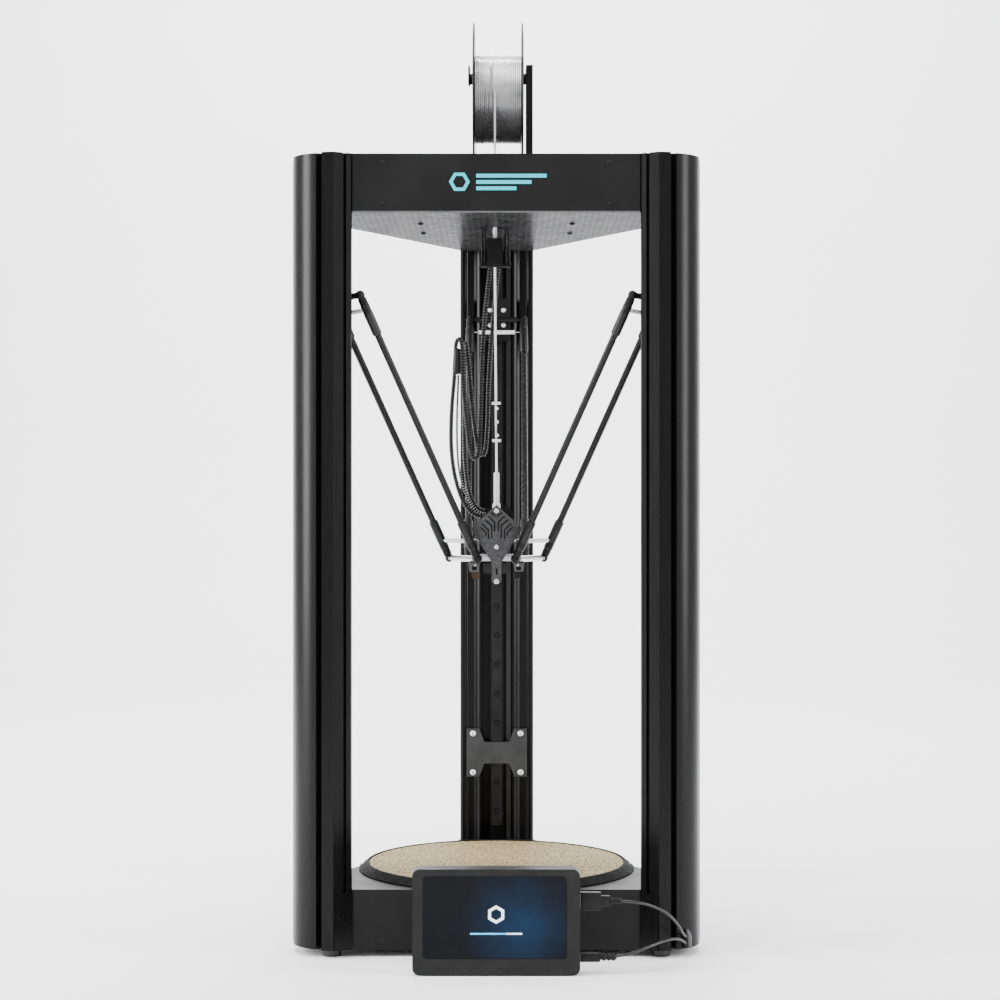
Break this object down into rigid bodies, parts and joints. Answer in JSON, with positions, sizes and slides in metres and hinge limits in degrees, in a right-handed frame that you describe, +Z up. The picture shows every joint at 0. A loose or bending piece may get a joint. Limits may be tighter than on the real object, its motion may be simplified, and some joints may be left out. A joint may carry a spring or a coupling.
{
  "type": "delta printer",
  "caption": "Tall open delta printer: extruded columns between hexagonal casings, belt-driven carriages, rods to the print head, round bed, spool and screen.",
  "frame": {"origin": "on the floor under the middle of the whole machine's plan, screen pad included", "axes": "+Z up; -Y is the front, where the screen pad stands; +X is to the right of someone facing the front"},
  "size_m": [0.4964, 0.5359, 1.156],
  "materials": {
    "column_aluminium": "black anodised",
    "machined_aluminium": "brushed",
    "dark_panel": "matte",
    "black_plastic": "matte",
    "grey_sheet": "matte",
    "dark_metal": "satin",
    "bright_steel": "brushed",
    "brass": "polished",
    "rubber": "matte",
    "arm_carbon": "gloss",
    "white_plastic": "satin",
    "bed_coating": "matte",
    "insulation": "matte",
    "pad_glass": "polished",
    "circuit_board": "matte",
    "grey_filament": "satin",
    "braided_sleeve": "matte"
  },
  "bodies": {
    "frame": {"columns": "column_aluminium", "column_ends": "column_aluminium", "feet": "rubber", "brackets": "dark_metal", "pins_and_screws": "bright_steel", "linear_rails": "dark_metal", "drive_belts": "rubber", "drive_motors": "dark_metal", "top_casing": "dark_panel", "top_cover": "dark_panel", "top_vent_plate": "grey_sheet", "base_top_plate": "dark_panel", "base_casing": "dark_panel", "power_inlet": "black_plastic", "power_supply": "grey_sheet", "circuit_boards": "circuit_board", "bed_rim": "dark_metal", "bed_insulation": "insulation", "heated_bed": "machined_aluminium", "build_sheet": "bed_coating", "spool_holder": "black_plastic", "harness_clamp": "black_plastic", "feed_tube": "white_plastic", "pad_case": "black_plastic", "pad_display": "pad_glass", "lead_fittings": "black_plastic", "upper_lead": "rubber", "lower_lead": "rubber", "filament_feed": "grey_filament"},
    "effector": {"arms": "arm_carbon", "arm_springs": "white_plastic", "joint_bars": "bright_steel", "effector_plate": "machined_aluminium", "head_shroud": "dark_metal", "heat_sink": "machined_aluminium", "heater_block": "rubber", "nozzle": "brass", "fan_housing": "black_plastic", "extruder_body": "black_plastic", "extruder_motor": "dark_metal", "inlet_collar": "white_plastic", "runout_sensor": "black_plastic", "outer_harness": "braided_sleeve", "inner_harness": "braided_sleeve", "pale_harness": "white_plastic", "filament_strand": "grey_filament"},
    "hot_end_fan": {"hot_end_fan": "black_plastic"},
    "extruder_gear": {"extruder_gear": "bright_steel"},
    "spool": {"spool": "black_plastic", "filament_winding": "grey_filament"},
    "power_rocker": {"power_rocker": "black_plastic"},
    "left_carriage": {"left_carriage": "dark_metal"},
    "left_drive_pulley": {"left_drive_pulley": "machined_aluminium"},
    "left_idler_pulley": {"left_idler_pulley": "machined_aluminium"},
    "right_carriage": {"right_carriage": "dark_metal"},
    "right_drive_pulley": {"right_drive_pulley": "machined_aluminium"},
    "right_idler_pulley": {"right_idler_pulley": "machined_aluminium"},
    "rear_carriage": {"rear_carriage": "dark_metal"},
    "rear_drive_pulley": {"rear_drive_pulley": "machined_aluminium"},
    "rear_idler_pulley": {"rear_idler_pulley": "machined_aluminium"}
  },
  "joints": [
    {"name": "effector_lift", "type": "slide", "parent": "frame", "child": "effector", "axis": [0, 0, 1], "range_m": [-0.3495, 0.06], "deforming": ["outer_harness", "inner_harness", "pale_harness", "filament_strand"]},
    {"name": "left_carriage_slide", "type": "slide", "parent": "frame", "child": "left_carriage", "axis": [0, 0, 1], "range_m": [-0.3495, 0.06]},
    {"name": "left_drive_pulley_turn", "type": "hinge", "parent": "frame", "child": "left_drive_pulley", "pos_m": [-0.211, -0.11184, 0.045], "axis": [-0.5, 0.866, 0], "range_deg": [-558, 3163]},
    {"name": "left_idler_pulley_turn", "type": "hinge", "parent": "frame", "child": "left_idler_pulley", "pos_m": [-0.211, -0.11184, 0.928], "axis": [-0.5, 0.866, 0], "range_deg": [-558, 3163]},
    {"name": "right_carriage_slide", "type": "slide", "parent": "frame", "child": "right_carriage", "axis": [0, 0, 1], "range_m": [-0.3495, 0.06]},
    {"name": "right_drive_pulley_turn", "type": "hinge", "parent": "frame", "child": "right_drive_pulley", "pos_m": [0.195, -0.13956, 0.045], "axis": [-0.5, -0.866, 0], "range_deg": [-558, 3163]},
    {"name": "right_idler_pulley_turn", "type": "hinge", "parent": "frame", "child": "right_idler_pulley", "pos_m": [0.195, -0.13956, 0.928], "axis": [-0.5, -0.866, 0], "range_deg": [-558, 3163]},
    {"name": "rear_carriage_slide", "type": "slide", "parent": "frame", "child": "rear_carriage", "axis": [0, 0, 1], "range_m": [-0.3495, 0.06]},
    {"name": "rear_drive_pulley_turn", "type": "hinge", "parent": "frame", "child": "rear_drive_pulley", "pos_m": [0.016, 0.2259, 0.045], "axis": [1, 0, 0], "range_deg": [-558, 3163]},
    {"name": "rear_idler_pulley_turn", "type": "hinge", "parent": "frame", "child": "rear_idler_pulley", "pos_m": [0.016, 0.2259, 0.928], "axis": [1, 0, 0], "range_deg": [-558, 3163]},
    {"name": "hot_end_fan_spin", "type": "hinge", "parent": "effector", "child": "hot_end_fan", "pos_m": [0, -0.0565, 0.503], "axis": [0, 1, 0], "continuous": true},
    {"name": "extruder_gear_spin", "type": "hinge", "parent": "effector", "child": "extruder_gear", "pos_m": [0.007, 0, 0.523], "axis": [0, 1, 0], "continuous": true},
    {"name": "spool_spin", "type": "hinge", "parent": "frame", "child": "spool", "pos_m": [0, 0.0355, 1.059], "axis": [1, 0, 0], "continuous": true},
    {"name": "power_rocker_tip", "type": "hinge", "parent": "frame", "child": "power_rocker", "pos_m": [-0.1224, 0.07949, 0.0435], "axis": [0.5, 0.866, 0], "range_deg": [-8, 0]}
  ],
  "couplings": [
    {"joint": "left_carriage_slide", "follows": "effector_lift", "ratio": 1},
    {"joint": "left_drive_pulley_turn", "follows": "effector_lift", "rad_per_m": -157.08},
    {"joint": "left_idler_pulley_turn", "follows": "effector_lift", "rad_per_m": -157.08},
    {"joint": "right_carriage_slide", "follows": "effector_lift", "ratio": 1},
    {"joint": "right_drive_pulley_turn", "follows": "effector_lift", "rad_per_m": -157.08},
    {"joint": "right_idler_pulley_turn", "follows": "effector_lift", "rad_per_m": -157.08},
    {"joint": "rear_carriage_slide", "follows": "effector_lift", "ratio": 1},
    {"joint": "rear_drive_pulley_turn", "follows": "effector_lift", "rad_per_m": -157.08},
    {"joint": "rear_idler_pulley_turn", "follows": "effector_lift", "rad_per_m": -157.08}
  ]
}
